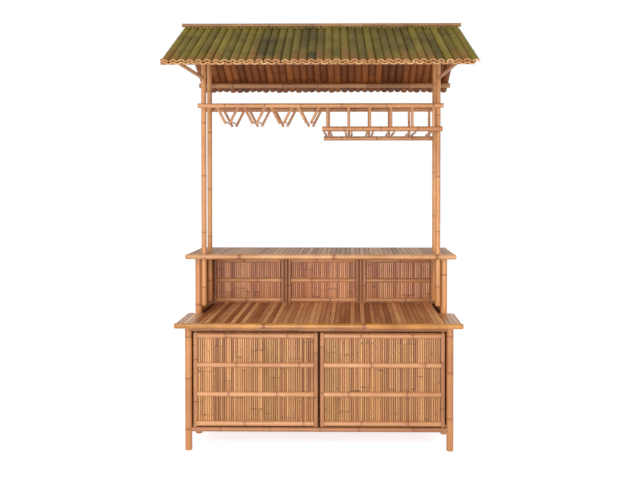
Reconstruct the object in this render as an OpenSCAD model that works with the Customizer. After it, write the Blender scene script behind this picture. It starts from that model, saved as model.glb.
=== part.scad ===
// Bamboo tiki bar: a two-level counter stand with framed slat panels and two doors, four
// roof posts, a hanging rack for glasses and bottles, and a two-slope roof of split culms.
// Millimetres, +Z up. The front faces -Y, and the origin is on the ground under the ridge.

/* [Stand] */
// Distance from the centre plane to the axis of each leg
leg_x = 725; // [600:1:900]
// Diameter of a leg pole
leg_d = 39; // [30:0.5:50]
// Height of the bar counter's top above the ground
bar_h = 1066; // [950:1:1300]
// Height of the work counter's top above the ground
work_h = 717; // [590:1:870]
// Position of the middle legs behind (+) or before (-) the ridge line
mid_leg_y = -42; // [-60:1:-20]
// Distance from the front legs back to the middle legs
front_bay = 242; // [190:1:300]
// Distance from the middle legs back to the rear legs
rear_bay = 304; // [240:1:370]

/* [Rails and panels] */
// Diameter of the rails between the legs
rail_d = 27; // [20:0.5:34]
// Height of the bottom rails' axis
bottom_rail_z = 114; // [60:1:160]
// Diameter of the upright poles at a panel's sides
stile_d = 27; // [20:0.5:34]
// Width of the half-round battens across a panel
batten_w = 27; // [20:0.5:34]
// Thickness of the layer of upright slats in a panel
slat_t = 10; // [6:0.5:14]
// Battens across each lower panel
lower_battens = 4; // [2:1:6]
// Battens across each panel above the work counter
upper_battens = 3; // [2:1:5]
// Distance from a panel's end to the middle of its first batten
batten_inset = 21; // [16:0.5:40]
// How far a batten laps onto the stile at each end
batten_lap = 5; // [2:0.5:14]
// Diameter of the thin poles between the upper panels
mullion_d = 19; // [12:0.5:26]
// Thickness of the shelf between the bottom rails
shelf_t = 10; // [6:0.5:20]

/* [Doors] */
// Open gap between the two doors
door_gap = 9; // [5:0.5:20]
// Gap between a door and the leg beside it
door_side_gap = 7; // [6:0.5:14]
// Gap above and below a door
door_end_gap = 5.5; // [5:0.5:12]
// Distance from a door's end to the middle of its first batten
door_batten_inset = 16; // [14:0.5:40]
// Diameter of the pivot pins at both ends of a door's outer stile
door_pin_d = 12; // [8:0.5:16]
// How far a pivot pin reaches into its rail
door_pin_reach = 10; // [6:0.5:12]

/* [Counters] */
// Thickness of the bar counter
bar_t = 30; // [20:0.5:40]
// Thickness of the work counter
work_t = 32; // [20:0.5:40]
// How far both counters reach past the leg axes at the sides
side_overhang = 64; // [50:1:100]
// How far the work counter reaches past the faces of the front legs
work_overhang = 51.5; // [20:0.5:90]
// How far the bar counter reaches past the faces of the rear legs
bar_overhang = 30.5; // [20:0.5:80]
// Gap between the work counter and the legs that it passes
counter_gap = 2.5; // [1:0.5:8]
// Width of wood left between a post hole and the bar counter's edge
hole_web = 4.2; // [3:0.1:20]

/* [Roof posts] */
// Diameter of the four poles that carry the roof
post_d = 29; // [22:0.5:36]
// Distance from the ridge line to the posts' axes
post_y = 78; // [60:1:110]
// Gap between the posts and the inner face of the legs, seen from the front
post_side_gap = 7; // [4:0.5:30]
// Height of the posts' lower ends above the work counter
post_foot_gap = 43; // [10:1:120]

/* [Hanging rack] */
// Drop from the roof plates down to the rack's top rails
rack_drop = 386; // [300:1:460]
// Diameter of the rack's top rails
rack_rail_d = 27; // [20:0.5:34]
// How far the top rails reach past the posts' axes
rack_overhang = 27; // [16:1:60]
// Number of glass hangers
hangers = 4; // [4:1:4]
// Distance from the left post to the first hanger's middle
hanger_margin = 145; // [110:1:170]
// Distance from the last hanger's middle to the first bottle rack upright
hanger_end_margin = 109; // [80:1:130]
// Space left between the upper ends of neighbouring hangers
hanger_top_space = 28.5; // [20:0.5:46]
// Width of the slot for the stems
stem_slot = 8; // [7:0.5:24]
// Drop from the top rails' axis to the lower ends of the hangers' sticks
hanger_drop = 104; // [90:1:140]
// Diameter of the hangers' sticks
stick_d = 15; // [10:0.5:18]
// Diameter of the hangers' rods
hanger_rod_d = 9; // [6:0.5:12]
// Height of the hanger rods' axis above the sticks' lower ends
hanger_rod_rise = 13; // [10:0.5:20]
// First bottle rack upright, right of the centre plane
bottle_rack_x = 41; // [20:1:80]
// Bays in the bottle rack
bottle_bays = 5; // [2:1:5]
// Distance from the right post to the last upright
bottle_end_margin = 30; // [28:1:60]
// Diameter of the bottle rack's uprights
upright_d = 15.5; // [10:0.5:18]
// Diameter of the front bottom rail of the bottle rack
bottle_front_d = 29; // [20:0.5:34]
// Diameter of the rear bottom rail of the bottle rack
bottle_rear_d = 26; // [20:0.5:34]
// Diameter of the rods that the bottles lie on
rod_d = 13; // [8:0.5:14]
// Distance from an upright's axis to the rods beside it
rod_offset = 17; // [15.5:0.5:22]
// Drop from the top rails' axis to the rods' axis
rod_drop = 156.5; // [130:0.5:200]
// How far the rods reach past the rails' axes
rod_reach = 21; // [16:1:60]
// How far the bottom rails reach past the last rod or the post
bottle_rail_reach = 7; // [3:0.5:30]

/* [Roof] */
// Height of the top of the ridge pole above the ground
total_h = 2430; // [2020:1:2920]
// Horizontal distance from the ridge to each eave
roof_half_depth = 543; // [500:1:650]
// Slope of the roof, degrees
roof_angle = 28.3; // [20:0.1:38]
// How far the roof reaches past the leg axes at the sides
roof_side_overhang = 98; // [80:1:160]
// Spacing of the culms across the roof
culm_pitch = 44.5; // [36:0.5:60]
// Thickness of the roof's two layers of split culms
roof_t = 28; // [24:0.5:34]
// Thickness of a culm's wall
culm_wall = 6; // [4:0.5:8]
// Diameter of the pole on the ridge
ridge_pole_d = 22; // [16:0.5:34]
// Diameter of the plates on the posts and of the eave purlins
purlin_d = 32; // [24:0.5:38]
// Distance from the eave in to the purlin
purlin_inset = 110; // [70:1:160]
// How far plates and purlins reach past the culms
purlin_reach = 5; // [2:1:40]
// Diameter of the arms from the posts to the eave purlins
arm_d = 20; // [14:0.5:26]
// Drop from the plates to the arms' lower ends
arm_drop = 225; // [170:1:250]
// How far the arms spread outward on their way to the purlin
arm_spread = 61; // [20:1:80]

/* [Hidden] */

$fn = 48;
// Clearance between two pieces that touch
seat = 0.3;
// Facets across each rounded back or belly of a culm in the roof's outline
culm_facets = 6;

// Legs and rails
front_leg_y = mid_leg_y - front_bay;
rear_leg_y = mid_leg_y + rear_bay;
work_under = work_h - work_t;
bar_under = bar_h - bar_t;
work_rail_z = work_under - seat - rail_d / 2;
bar_rail_z = bar_under - seat - rail_d / 2;
leg_in_x = leg_x - leg_d / 2;

// Panels: each fills the space between two rails, with the seat clearance all round
lower_z0 = bottom_rail_z + rail_d / 2 + seat;
lower_h = work_rail_z - rail_d / 2 - seat - lower_z0;
lower_w = leg_in_x - seat - seat / 2;
upper_z0 = work_h + seat;
upper_h = bar_rail_z - rail_d / 2 - seat - upper_z0;
upper_pitch = (2 * leg_in_x + mullion_d) / 3;
upper_w = upper_pitch - mullion_d - 2 * seat;
side_upper_z0 = work_rail_z + rail_d / 2 + seat;
side_upper_h = bar_rail_z - rail_d / 2 - seat - side_upper_z0;
// The slat layer starts this far in front of a panel's middle plane
slat_front = 6;

// Doors: each turns on its outer stile's axis, on a pin in either rail
door_z0 = bottom_rail_z + rail_d / 2 + door_end_gap;
door_h = work_rail_z - rail_d / 2 - door_end_gap - door_z0;
door_w = leg_in_x - door_side_gap - door_gap / 2;
pivot_x = leg_in_x - door_side_gap - stile_d / 2;
// Running clearance round a pivot pin
pin_play = 0.1;

// Counters
counter_x = leg_x + side_overhang;
work_trim_r = work_t / 2;
bar_trim_r = bar_t / 2;
work_y0 = front_leg_y - leg_d / 2 - work_overhang;
work_y1 = rear_leg_y + rail_d / 2;
ear_y1 = mid_leg_y - leg_d / 2 - seat;
bar_slab_y0 = -(post_y + post_d / 2 + seat + hole_web);
bar_slab_y1 = rear_leg_y + leg_d / 2 + bar_overhang - bar_trim_r;

// Roof: the crests of both slopes meet under the ridge pole
crest_z = total_h - ridge_pole_d - seat;
roof_drop = tan(roof_angle);
under_z = crest_z - roof_t / cos(roof_angle);
purlin_n = (purlin_d / 2 + seat) / cos(roof_angle);
purlin_y = roof_half_depth - purlin_inset;
plate_z = under_z - post_y * roof_drop - purlin_n;
purlin_z = under_z - purlin_y * roof_drop - purlin_n;
culms = round(2 * (leg_x + roof_side_overhang) / culm_pitch);
roof_len = culms * culm_pitch;
purlin_len = roof_len + 2 * purlin_reach;
slope_len = roof_half_depth / cos(roof_angle);

// Roof posts and hanging rack
post_x = leg_in_x - post_side_gap - post_d / 2;
post_z0 = work_h + post_foot_gap;
post_z1 = plate_z - purlin_d / 2 - seat;
rack_z = plate_z - rack_drop;
rack_y = post_y + post_d / 2 + seat + rack_rail_d / 2;
rack_len = 2 * (post_x + rack_overhang);
hanger_pitch = (post_x - hanger_margin + bottle_rack_x - hanger_end_margin) / (hangers - 1);
hanger_top_x = (hanger_pitch - hanger_top_space) / 2;
hanger_end_x = (stem_slot + stick_d) / 2;
hanger_rod_x = hanger_end_x + (hanger_top_x - hanger_end_x) * hanger_rod_rise / hanger_drop;
bay_w = (post_x - bottle_end_margin - bottle_rack_x) / bottle_bays;
rod_z = rack_z - rod_drop;
bottle_front_z = rod_z + rod_d / 2 + seat + bottle_front_d / 2;
bottle_rear_z = rod_z - rod_d / 2 - seat - bottle_rear_d / 2;
bottle_rail_x0 = bottle_rack_x - rod_offset - rod_d / 2 - bottle_rail_reach;
bottle_rail_x1 = post_x + post_d / 2 + bottle_rail_reach;

bamboo = "#d9a066";
bamboo_dark = "#b8794a";
slat_color = "#cf9560";
trim_color = "#d98f3f";
counter_color = "#a0643a";
roof_color = "#8a8340";

// Poles along each axis, centred on the two other axes
module pole_x(len, d) { rotate([0, 90, 0]) cylinder(h = len, d = d, center = true); }
module pole_y(len, d) { rotate([90, 0, 0]) cylinder(h = len, d = d, center = true); }

// A pole whose axis runs from point p to point q
module pole_between(p, q, d) {
    v = q - p;
    translate(p) rotate([0, acos(v.z / norm(v)), atan2(v.y, v.x)])
        cylinder(h = norm(v), d = d);
}

// An upright pole from height z0 to z1
module post(x, y, z0, z1, d) { translate([x, y, z0]) cylinder(h = z1 - z0, d = d); }

// Framed panel in the XZ plane, centred on x = 0 with its foot at z = 0 and its face
// toward -Y: two stiles, a layer of slats, and half-round battens nailed across the face
module framed_panel(w, h, battens, inset = batten_inset) {
    inner_w = w - 2 * stile_d;
    step = (h - 2 * inset) / (battens - 1);
    for (s = [-1, 1]) post(s * (w - stile_d) / 2, 0, 0, h, stile_d);
    translate([-w / 2 + stile_d / 2, -slat_front, 0]) cube([w - stile_d, slat_t, h]);
    for (i = [0:battens - 1])
        translate([0, -slat_front, inset + i * step]) intersection() {
            pole_x(inner_w + 2 * batten_lap, batten_w);
            translate([-w / 2, -batten_w, -batten_w / 2]) cube([w, batten_w + 1, batten_w]);
        }
}

// Half culm along X from x0 to x1, rounded toward -Y, with its flat back at y = 0
module half_culm(x0, x1, r) {
    translate([x0, 0, 0]) rotate([0, 90, 0]) rotate([0, 0, 180])
        linear_extrude(height = x1 - x0) intersection() {
            circle(r = r);
            translate([-r, 0]) square([2 * r, r]);
        }
}

// Rails between two legs on one line along X
module cross_rail(y, z) {
    translate([0, y, z]) difference() {
        pole_x(2 * leg_x, rail_d);
        for (s = [-1, 1]) translate([s * leg_x, 0, -rail_d])
            cylinder(h = 2 * rail_d, d = leg_d + 2 * seat);
    }
}

// Rail between two legs on one side
module side_rail(y0, y1, z) {
    translate([0, (y0 + y1) / 2, z]) difference() {
        pole_y(y1 - y0, rail_d);
        for (s = [-1, 1]) translate([0, s * (y1 - y0) / 2, -rail_d])
            cylinder(h = 2 * rail_d, d = leg_d + 2 * seat);
    }
}

module front_leg(s) { color(bamboo) post(s * leg_x, front_leg_y, 0, work_under - seat, leg_d); }
module middle_leg(s) { color(bamboo) post(s * leg_x, mid_leg_y, 0, bar_under - seat, leg_d); }
module rear_leg(s) { color(bamboo) post(s * leg_x, rear_leg_y, 0, bar_under - seat, leg_d); }

// Both front rails are bored for the doors' pivot pins
module front_rails() {
    play = door_pin_d + 2 * pin_play;
    color(bamboo_dark) {
        difference() {
            cross_rail(front_leg_y, bottom_rail_z);
            for (s = [-1, 1])
                post(s * pivot_x, front_leg_y, door_z0 - door_end_gap - door_pin_reach - seat,
                     door_z0, play);
        }
        difference() {
            cross_rail(front_leg_y, work_rail_z);
            for (s = [-1, 1])
                post(s * pivot_x, front_leg_y, door_z0 + door_h,
                     door_z0 + door_h + door_end_gap + door_pin_reach + seat, play);
        }
    }
}

module rear_rails() {
    color(bamboo_dark) for (z = [bottom_rail_z, work_rail_z, bar_rail_z])
        cross_rail(rear_leg_y, z);
}

module side_rails(s) {
    color(bamboo_dark) translate([s * leg_x, 0, 0]) {
        for (z = [bottom_rail_z, work_rail_z]) side_rail(front_leg_y, mid_leg_y, z);
        for (z = [bottom_rail_z, work_rail_z, bar_rail_z]) side_rail(mid_leg_y, rear_leg_y, z);
    }
}

// A framed panel whose outer stile turns on a pin in either rail
module front_door(s) {
    reach = door_end_gap + door_pin_reach;
    color(slat_color) {
        translate([s * (door_gap + door_w) / 2, front_leg_y, door_z0])
            framed_panel(door_w, door_h, lower_battens, door_batten_inset);
        post(s * pivot_x, front_leg_y, door_z0 - reach, door_z0 + door_h + reach, door_pin_d);
    }
}

module rear_panel(s) {
    color(slat_color) translate([s * (seat + lower_w) / 2, rear_leg_y, lower_z0])
        rotate([0, 0, 180]) framed_panel(lower_w, lower_h, lower_battens);
}

module upper_panel(i) {
    color(slat_color) translate([i * upper_pitch, rear_leg_y, upper_z0])
        framed_panel(upper_w, upper_h, upper_battens);
}

module upper_mullions() {
    color(bamboo) for (s = [-1, 1])
        post(s * upper_pitch / 2, rear_leg_y, upper_z0, upper_z0 + upper_h, mullion_d);
}

// Panels of one side, faces outward: two below the work counter and one above it
module side_panels(s) {
    clear = leg_d / 2 + seat;
    color(slat_color) {
        translate([s * leg_x, (front_leg_y + mid_leg_y) / 2, lower_z0]) rotate([0, 0, s * 90])
            framed_panel(front_bay - 2 * clear, lower_h, lower_battens);
        translate([s * leg_x, (mid_leg_y + rear_leg_y) / 2, lower_z0]) rotate([0, 0, s * 90])
            framed_panel(rear_bay - 2 * clear, lower_h, lower_battens);
        translate([s * leg_x, (mid_leg_y + rear_leg_y) / 2, side_upper_z0])
            rotate([0, 0, s * 90])
                framed_panel(rear_bay - 2 * clear, side_upper_h, upper_battens);
    }
}

// A board between the front and rear bottom rails, nailed to their inner sides
module cabinet_shelf() {
    inner = rail_d / 2 + seat;
    color(slat_color)
        translate([seat - leg_in_x, front_leg_y + inner, bottom_rail_z - shelf_t / 2])
            cube([2 * (leg_in_x - seat), front_bay + rear_bay - 2 * inner, shelf_t]);
}

// Wide in front of the middle legs, and narrower where it runs back between the legs
module work_counter_top() {
    wide = counter_x - work_trim_r;
    narrow = leg_in_x - counter_gap;
    color(counter_color) translate([0, 0, work_under]) linear_extrude(height = work_t)
        polygon([[-wide, work_y0 + work_trim_r], [wide, work_y0 + work_trim_r],
                 [wide, ear_y1], [narrow, ear_y1], [narrow, work_y1],
                 [-narrow, work_y1], [-narrow, ear_y1], [-wide, ear_y1]]);
}

module work_counter_trim() {
    y = work_y0 + work_trim_r - seat;
    color(trim_color) translate([0, 0, work_under + work_trim_r]) {
        translate([0, y, 0]) half_culm(-counter_x, counter_x, work_trim_r - seat);
        for (s = [-1, 1]) translate([s * (counter_x - work_trim_r + seat), 0, 0])
            rotate([0, 0, s * 90])
                half_culm(s > 0 ? y + seat : -ear_y1, s > 0 ? ear_y1 : -y - seat,
                          work_trim_r - seat);
    }
}

module bar_counter_top() {
    half = counter_x - bar_trim_r;
    color(counter_color) difference() {
        translate([-half, bar_slab_y0, bar_under])
            cube([2 * half, bar_slab_y1 - bar_slab_y0, bar_t]);
        for (sx = [-1, 1], sy = [-1, 1])
            translate([sx * post_x, sy * post_y, bar_under - 1])
                cylinder(h = bar_t + 2, d = post_d + 2 * seat);
    }
}

module bar_counter_trim() {
    r = bar_trim_r - seat;
    color(trim_color) translate([0, 0, bar_under + bar_trim_r]) {
        translate([0, bar_slab_y0 - seat, 0]) half_culm(-counter_x, counter_x, r);
        translate([0, bar_slab_y1 + seat, 0]) rotate([0, 0, 180])
            half_culm(-counter_x, counter_x, r);
        for (s = [-1, 1]) translate([s * (counter_x - bar_trim_r + seat), 0, 0])
            rotate([0, 0, s * 90])
                half_culm(s > 0 ? bar_slab_y0 : -bar_slab_y1, s > 0 ? bar_slab_y1 : -bar_slab_y0,
                          r);
    }
}

module roof_post(sx, sy) {
    color(bamboo) post(sx * post_x, sy * post_y, post_z0, post_z1, post_d);
}

module rack_rail(sy) {
    color(bamboo) translate([0, sy * rack_y, rack_z]) pole_x(rack_len, rack_rail_d);
}

// One V-shaped hanger: sticks slant down from both top rails on each side of the stem slot,
// and a rod runs front to back through the lower ends of each pair
module glass_hanger(i) {
    x = -post_x + hanger_margin + (i - 1) * hanger_pitch;
    low_z = rack_z - hanger_drop;
    color(bamboo) for (s = [-1, 1]) {
        rod = [x + s * hanger_rod_x, 0, low_z + hanger_rod_rise];
        translate(rod) pole_y(2 * rack_y + stick_d, hanger_rod_d);
        for (sy = [-1, 1]) difference() {
            pole_between([x + s * hanger_top_x, sy * rack_y, rack_z],
                         [x + s * hanger_end_x, sy * rack_y, low_z], stick_d);
            translate([x, sy * rack_y, rack_z])
                pole_x(hanger_pitch * 2, rack_rail_d + 2 * seat);
            translate(rod) pole_y(3 * rack_y, hanger_rod_d + 2 * seat);
        }
    }
}

// Bottom rail of the bottle rack with its uprights up to the top rail
module bottle_rack_side(sy, z, d) {
    y = post_y + post_d / 2 + seat + d / 2;
    color(bamboo) {
        translate([(bottle_rail_x0 + bottle_rail_x1) / 2, sy * y, z])
            pole_x(bottle_rail_x1 - bottle_rail_x0, d);
        for (i = [0:bottle_bays])
            post(bottle_rack_x + i * bay_w, sy * rack_y, z + d / 2 + seat,
                 rack_z - rack_rail_d / 2 - seat, upright_d);
    }
}

// Rods front to back, one on each side of every upright, except beside the right posts
module bottle_rack_rods() {
    color(bamboo_dark) for (i = [0:bottle_bays], s = [-1, 1])
        if (!(i == bottle_bays && s == 1))
            translate([bottle_rack_x + i * bay_w + s * rod_offset, 0, rod_z])
                pole_y(2 * (rack_y + rod_reach), rod_d);
}

module plate(sy) {
    color(bamboo_dark) translate([0, sy * post_y, plate_z]) pole_x(purlin_len, purlin_d);
}

module purlin(sy) {
    color(bamboo_dark) translate([0, sy * purlin_y, purlin_z]) pole_x(purlin_len, purlin_d);
}

module roof_arms() {
    color(bamboo) for (sx = [-1, 1], sy = [-1, 1]) difference() {
        pole_between([sx * post_x, sy * post_y, plate_z - arm_drop],
                     [sx * (post_x + arm_spread), sy * purlin_y, purlin_z], arm_d);
        post(sx * post_x, sy * post_y, plate_z - 2 * arm_drop, plate_z, post_d + 2 * seat);
        translate([sx * post_x, sy * purlin_y, purlin_z])
            pole_x(8 * arm_spread, purlin_d + 2 * seat);
    }
}

// Edge of the roof across the culms, closed into one wavy sheet: the covers' backs above
// and the pans' bellies below, each an arch over its own angle from 0 to 180 degrees
function culm_x(i, t) = -roof_len / 2 + (i + 0.5) * culm_pitch - cos(t) * culm_pitch / 2;
function cover_n(t) = culm_wall + (roof_t - culm_wall) * sin(t);
function pan_n(t) = (roof_t - culm_wall) * (1 - sqrt(1 - pow(1 - abs(cos(t)), 2)));
cover_edge = [for (i = [0:culms - 1], k = [0:culm_facets - 1])
    let (t = 180 * k / culm_facets) [culm_x(i, t), cover_n(t)]];
pan_edge = [for (i = [culms - 1:-1:0], k = [culm_facets - 1:-1:0])
    let (t = 180 * k / culm_facets) [culm_x(i, t), pan_n(t)]];

module roof_slope() {
    color(roof_color) intersection() {
        translate([0, roof_t * sin(roof_angle), crest_z - roof_t * cos(roof_angle)])
            rotate([90 + roof_angle, 0, 0])
                linear_extrude(height = slope_len)
                    polygon(concat(cover_edge, [[roof_len / 2, culm_wall], [roof_len / 2, 0]],
                                   pan_edge));
        translate([-roof_len, -2 * roof_half_depth, 0])
            cube([2 * roof_len, 2 * roof_half_depth - seat / 2, 2 * total_h]);
    }
}

module ridge_pole() {
    color(bamboo) translate([0, 0, crest_z + seat + ridge_pole_d / 2])
        pole_x(purlin_len, ridge_pole_d);
}

front_leg(-1);  // front_left_leg
front_leg(1);  // front_right_leg
middle_leg(-1);  // middle_left_leg
middle_leg(1);  // middle_right_leg
rear_leg(-1);  // rear_left_leg
rear_leg(1);  // rear_right_leg
front_rails();
rear_rails();
side_rails(-1);  // left_side_rails
side_rails(1);  // right_side_rails
front_door(-1);  // front_left_door
front_door(1);  // front_right_door
rear_panel(-1);  // rear_left_panel
rear_panel(1);  // rear_right_panel
upper_panel(-1);  // upper_left_panel
upper_panel(0);  // upper_middle_panel
upper_panel(1);  // upper_right_panel
upper_mullions();
side_panels(-1);  // left_side_panels
side_panels(1);  // right_side_panels
cabinet_shelf();
work_counter_top();
work_counter_trim();
bar_counter_top();
bar_counter_trim();
roof_post(-1, -1);  // front_left_roof_post
roof_post(1, -1);  // front_right_roof_post
roof_post(-1, 1);  // rear_left_roof_post
roof_post(1, 1);  // rear_right_roof_post
rack_rail(-1);  // rack_front_rail
rack_rail(1);  // rack_rear_rail
glass_hanger(1);  // glass_hanger_1
glass_hanger(2);  // glass_hanger_2
glass_hanger(3);  // glass_hanger_3
glass_hanger(4);  // glass_hanger_4
bottle_rack_side(-1, bottle_front_z, bottle_front_d);  // bottle_rack_front
bottle_rack_side(1, bottle_rear_z, bottle_rear_d);  // bottle_rack_rear
bottle_rack_rods();
plate(-1);  // front_plate
plate(1);  // rear_plate
purlin(-1);  // front_purlin
purlin(1);  // rear_purlin
roof_arms();
roof_slope();  // front_roof
rotate([0, 0, 180]) roof_slope();  // rear_roof
ridge_pole();
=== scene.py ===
import math, random
import bmesh, bpy
from mathutils import Matrix, Vector


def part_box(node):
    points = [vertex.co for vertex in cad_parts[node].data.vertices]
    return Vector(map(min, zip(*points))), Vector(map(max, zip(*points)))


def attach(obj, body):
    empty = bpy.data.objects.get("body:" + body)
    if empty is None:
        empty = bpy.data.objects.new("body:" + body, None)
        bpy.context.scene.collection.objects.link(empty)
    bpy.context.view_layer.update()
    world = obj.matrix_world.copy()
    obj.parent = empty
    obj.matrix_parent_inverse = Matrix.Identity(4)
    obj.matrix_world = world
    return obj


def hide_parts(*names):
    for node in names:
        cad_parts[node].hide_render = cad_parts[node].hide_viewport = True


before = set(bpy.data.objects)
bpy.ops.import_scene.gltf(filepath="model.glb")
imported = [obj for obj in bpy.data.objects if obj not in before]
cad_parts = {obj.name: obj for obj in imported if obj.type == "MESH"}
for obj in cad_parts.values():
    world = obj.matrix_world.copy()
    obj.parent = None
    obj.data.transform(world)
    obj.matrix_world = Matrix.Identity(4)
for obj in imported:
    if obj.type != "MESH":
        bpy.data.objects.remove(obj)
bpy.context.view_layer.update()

# ---------------------------------------------------------------- Camera
# About the eye height of a standing guest, a little right of the middle, looking almost level.
# The lens is shifted as on a view camera, so that the poles stay upright in the picture.
eye = bpy.data.cameras.new("eye")
eye.sensor_width = 36.0
eye.lens = 36.39
eye.shift_x, eye.shift_y = -0.04, -0.08
camera = bpy.data.objects.new("camera", eye)
camera.location = (0.185, -3.857, 1.494)
camera.rotation_euler = (math.radians(90 - 0.71), 0, math.radians(0.60))
bpy.context.collection.objects.link(camera)
bpy.context.scene.camera = camera


# ---------------------------------------------------------------- Floor and light
# A plain pale studio floor under a white sky, with a large soft lamp from the front left, a
# weaker one from the right and a low one in front that reaches under the bar counter.
def rgb(code):
    """Linear colour of a six-figure paint code."""
    parts = [int(code[i:i + 2], 16) / 255 for i in (0, 2, 4)]
    return [c / 12.92 if c <= 0.04045 else ((c + 0.055) / 1.055) ** 2.4 for c in parts] + [1]


def add(tree, kind, inputs=None, **settings):
    """One shader node with its settings, and its inputs as values or as links."""
    node = tree.nodes.new("ShaderNode" + kind)
    for key, value in settings.items():
        setattr(node, key, value)
    for key, value in (inputs or {}).items():
        if isinstance(value, bpy.types.NodeSocket):
            tree.links.new(value, node.inputs[key])
        else:
            node.inputs[key].default_value = value
    return node


def seen_directly(tree):
    """1 for the camera and for what mirrors and glass show, 0 for the light on the object."""
    path = add(tree, "LightPath")
    glossy = add(tree, "Math", {0: path.outputs["Is Camera Ray"], 1: path.outputs["Is Glossy Ray"]},
                 operation="MAXIMUM")
    return path, add(tree, "Math", {0: glossy.outputs[0],
                                    1: path.outputs["Is Transmission Ray"]},
                     operation="MAXIMUM").outputs[0]


world = bpy.data.worlds.new("sky")
world.use_nodes = True
world.node_tree.nodes.clear()
path, direct = seen_directly(world.node_tree)
strength = add(world.node_tree, "MapRange", {"Value": direct, "To Min": 0.40, "To Max": 1.0})
sky = add(world.node_tree, "Background", {"Color": (1, 1, 1, 1), "Strength": strength.outputs[0]})
out = add(world.node_tree, "OutputWorld", {"Surface": sky.outputs[0]})
bpy.context.scene.world = world

floor_paint = bpy.data.materials.new("studio_floor")
floor_paint.use_nodes = True
floor_tree = floor_paint.node_tree
floor_tree.nodes.clear()
matte = add(floor_tree, "BsdfDiffuse", {"Color": (0.86, 0.86, 0.86, 1)})
white = add(floor_tree, "Emission", {"Color": (1, 1, 1, 1)})
path, direct = seen_directly(floor_tree)
lift = add(floor_tree, "Math", {0: direct, 1: 0.72}, operation="MULTIPLY")
floor_tree.links.new(lift.outputs[0], white.inputs["Strength"])
both = add(floor_tree, "AddShader", {0: matte.outputs[0], 1: white.outputs[0]})
add(floor_tree, "OutputMaterial", {"Surface": both.outputs[0]})

ground = bmesh.new()
bmesh.ops.create_grid(ground, x_segments=1, y_segments=1, size=40)
ground_mesh = bpy.data.meshes.new("floor")
ground.to_mesh(ground_mesh)
ground.free()
ground_mesh.materials.append(floor_paint)
floor = bpy.data.objects.new("floor", ground_mesh)
bpy.context.collection.objects.link(floor)


def lamp(name, place, aim, size, watts):
    """A square soft box that looks at a point on the bar."""
    data = bpy.data.lights.new(name, "AREA")
    data.size, data.energy = size, watts
    box = bpy.data.objects.new(name, data)
    box.location = place
    box.rotation_euler = (Vector(aim) - Vector(place)).to_track_quat("-Z", "Y").to_euler()
    bpy.context.collection.objects.link(box)


lamp("key", (-3.2, -4.6, 4.2), (0, 0, 1.1), 2.6, 120)
lamp("fill", (3.6, -4.2, 2.6), (0, 0, 1.2), 3.0, 60)
lamp("low", (-0.5, -5.2, 1.0), (0, 0, 1.0), 2.0, 120)
bpy.context.scene.view_settings.view_transform = "Standard"


# ---------------------------------------------------------------- Legs and roof posts
# Whole culms of lacquered bamboo, sawn square. Each joint of the culm has a raised ring
# over a dark scar, and the wall between the joints changes tone from one to the next.
def build_skin():
    """Node group for the skin of bamboo: fine fibres along the culm, cloudy tone, scars."""
    tree = bpy.data.node_groups.new("culm_skin", "ShaderNodeTree")
    for name in ("Light", "Dark", "Scar", "Aged"):
        tree.interface.new_socket(name, in_out="INPUT", socket_type="NodeSocketColor")
    for name in ("Fibre", "Cloud", "Spots", "Gloss"):
        tree.interface.new_socket(name, in_out="INPUT", socket_type="NodeSocketFloat")
    tree.interface.new_socket("Color", in_out="OUTPUT", socket_type="NodeSocketColor")
    for name in ("Roughness", "Height"):
        tree.interface.new_socket(name, in_out="OUTPUT", socket_type="NodeSocketFloat")
    given = tree.nodes.new("NodeGroupInput").outputs
    uv = add(tree, "UVMap", uv_map="skin").outputs[0]
    here = add(tree, "TexCoord").outputs["Object"]

    def noise(where, stretch, detail):
        spread = add(tree, "VectorMath", {0: where, 1: stretch}, operation="MULTIPLY")
        return add(tree, "TexNoise", {"Vector": spread.outputs[0], "Scale": 1.0,
                                      "Detail": detail}).outputs[0]

    def math_node(kind, a, b):
        return add(tree, "Math", {0: a, 1: b}, operation=kind).outputs[0]

    def mask(name):
        return add(tree, "Attribute", attribute_name=name).outputs["Fac"]

    fibre = noise(uv, (1500, 9, 1), 2.0)
    band = noise(uv, (260, 2.5, 1), 2.0)
    cloud = noise(here, (7, 7, 5), 3.0)
    level = mask("tone")
    for wave, amount in ((fibre, given["Fibre"]), (band, given["Fibre"]), (cloud, given["Cloud"])):
        level = math_node("ADD", level,
                          math_node("MULTIPLY", math_node("SUBTRACT", wave, 0.5), amount))
    blend = add(tree, "Mix", {0: level, 6: given["Dark"], 7: given["Light"]}, data_type="RGBA",
                clamp_factor=True).outputs[2]
    patch = add(tree, "MapRange", {"Value": math_node("ADD", mask("aged"),
                                                      math_node("SUBTRACT", band, 0.5)),
                                   "From Min": 0.35, "From Max": 0.75}).outputs[0]
    blend = add(tree, "Mix", {0: patch, 6: blend, 7: given["Aged"]}, data_type="RGBA").outputs[2]
    speck = add(tree, "MapRange", {"Value": noise(here, (130, 130, 80), 1.0), "From Min": 0.66,
                                   "From Max": 0.74}).outputs[0]
    stain = math_node("ADD", mask("scar"), math_node("MULTIPLY", speck, given["Spots"]))
    blend = add(tree, "Mix", {0: stain, 6: blend, 7: given["Scar"]}, data_type="RGBA",
                clamp_factor=True).outputs[2]
    rough = math_node("ADD", given["Gloss"],
                      math_node("MULTIPLY", math_node("SUBTRACT", fibre, 0.5), 0.18))
    height = math_node("SUBTRACT", fibre, mask("scar"))
    end = tree.nodes.new("NodeGroupOutput")
    for name, value in (("Color", blend), ("Roughness", rough), ("Height", height)):
        tree.links.new(value, end.inputs[name])
    return tree


skin = build_skin()


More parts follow.
